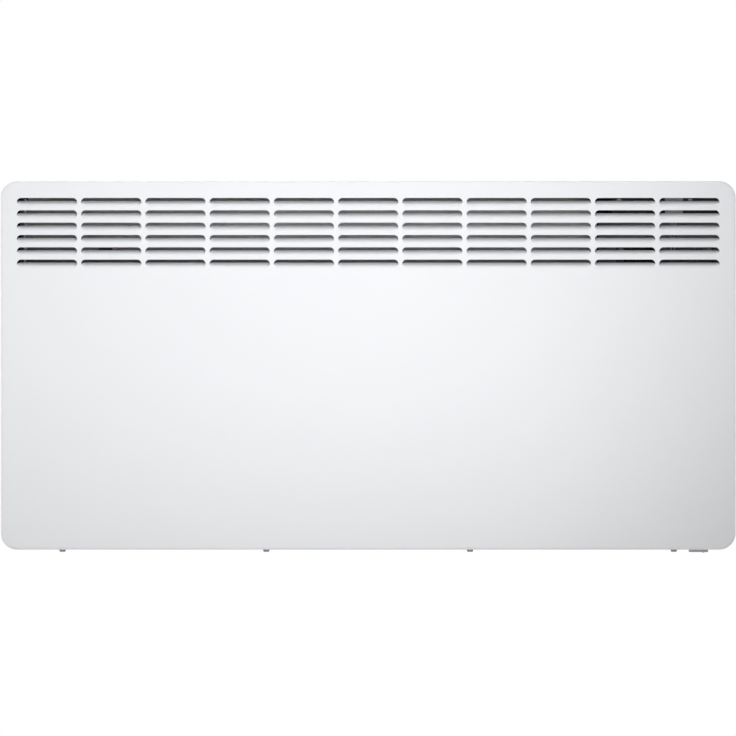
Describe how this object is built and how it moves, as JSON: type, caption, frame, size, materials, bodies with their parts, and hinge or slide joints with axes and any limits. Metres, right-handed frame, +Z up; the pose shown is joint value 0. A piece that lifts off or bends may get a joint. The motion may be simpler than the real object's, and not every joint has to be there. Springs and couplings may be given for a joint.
{
  "type": "wall panel convector heater",
  "caption": "Flat white sheet steel convector heater with a louvred front, hung on a wall bracket with turning locks, with a finned element, top control unit and rocker switch.",
  "frame": {"origin": "on the wall plane, at the centre of the bracket's four wall screw slots, level with the casing's middle", "axes": "+X to the right seen from the front, +Y into the wall, +Z up"},
  "size_m": [0.897, 0.1, 0.4551],
  "materials": {
    "white_enamel": "satin powder coat",
    "galvanised_steel": "galvanised, dull",
    "aluminised_steel": "satin",
    "zinc_plated": "bright zinc",
    "fin_aluminium": "mill finish",
    "heater_sheath": "heat dulled",
    "ceramic": "unglazed",
    "black_plastic": "moulded",
    "grey_plastic": "moulded",
    "white_plastic": "moulded",
    "window": "gloss",
    "circuit_board": "satin solder mask",
    "black_phenolic": "moulded",
    "winding_tape": "tape",
    "rubber": "matt",
    "brass": "tinned",
    "lead_brown": "silicone",
    "lead_blue": "silicone",
    "lead_green_yellow": "silicone",
    "lead_grey": "silicone"
  },
  "bodies": {
    "wall_bracket": {"upright_right": "galvanised_steel", "upright_left": "galvanised_steel", "rails": "galvanised_steel", "rail_rivets": "zinc_plated", "wall_buffers": "rubber"},
    "heater": {"front_casing": "white_enamel", "casing_screws": "zinc_plated", "top_clips": "galvanised_steel", "rear_panel": "galvanised_steel", "base_plate": "galvanised_steel", "lock_pivots": "zinc_plated", "duct_wall_right": "aluminised_steel", "duct_wall_left": "aluminised_steel", "rear_shield": "aluminised_steel", "front_shield": "aluminised_steel", "heater_rivets": "zinc_plated", "element_tube": "heater_sheath", "element_fins": "fin_aluminium", "element_supports": "aluminised_steel", "element_bushes": "ceramic", "element_flange": "zinc_plated", "element_seals": "ceramic", "element_pins": "zinc_plated", "cutout_plates": "fin_aluminium", "cutout_bodies": "black_phenolic", "cutout_spades": "brass", "power_board": "circuit_board", "stand_offs": "brass", "relays": "black_plastic", "transformer": "winding_tape", "capacitors": "grey_plastic", "heat_sink": "fin_aluminium", "board_terminal": "grey_plastic", "control_fascia": "white_plastic", "display_window": "window", "display_module": "grey_plastic", "control_board": "circuit_board", "key_switches": "black_plastic", "control_housing": "black_plastic", "switch_body": "grey_plastic", "switch_spades": "brass", "room_sensor": "white_plastic", "connection_box": "white_plastic", "gland_body": "black_plastic", "gland_nut": "black_plastic", "gland_cap": "black_plastic", "grommet": "rubber", "terminal_strip": "white_plastic", "inner_screws": "zinc_plated", "live_leads": "lead_brown", "neutral_leads": "lead_blue", "earth_lead": "lead_green_yellow", "signal_leads": "lead_grey"},
    "lock_right": {"lock_lever_right": "zinc_plated"},
    "lock_left": {"lock_lever_left": "zinc_plated"},
    "rocker": {"switch_rocker": "grey_plastic"},
    "button_menu": {"button_menu": "grey_plastic"},
    "button_minus": {"button_minus": "grey_plastic"},
    "button_plus": {"button_plus": "grey_plastic"},
    "button_confirm": {"button_confirm": "grey_plastic"}
  },
  "joints": [
    {"name": "heater_lift", "type": "slide", "parent": "wall_bracket", "child": "heater", "axis": [0, 0, 1], "range_m": [0, 0.014]},
    {"name": "lock_right_turn", "type": "hinge", "parent": "heater", "child": "lock_right", "pos_m": [0.212, -0.016, -0.184], "axis": [0, 1, 0], "range_deg": [0, 80]},
    {"name": "lock_left_turn", "type": "hinge", "parent": "heater", "child": "lock_left", "pos_m": [-0.212, -0.016, -0.184], "axis": [0, -1, 0], "range_deg": [0, 80]},
    {"name": "rocker_turn", "type": "hinge", "parent": "heater", "child": "rocker", "pos_m": [0.4051, -0.06, -0.2243], "axis": [0, -1, 0], "range_deg": [0, 18]},
    {"name": "button_menu_press", "type": "slide", "parent": "heater", "child": "button_menu", "axis": [0, 0, -1], "range_m": [0, 0.0006], "stiffness_N_per_m": 800},
    {"name": "button_minus_press", "type": "slide", "parent": "heater", "child": "button_minus", "axis": [0, 0, -1], "range_m": [0, 0.0006], "stiffness_N_per_m": 800},
    {"name": "button_plus_press", "type": "slide", "parent": "heater", "child": "button_plus", "axis": [0, 0, -1], "range_m": [0, 0.0006], "stiffness_N_per_m": 800},
    {"name": "button_confirm_press", "type": "slide", "parent": "heater", "child": "button_confirm", "axis": [0, 0, -1], "range_m": [0, 0.0006], "stiffness_N_per_m": 800}
  ]
}
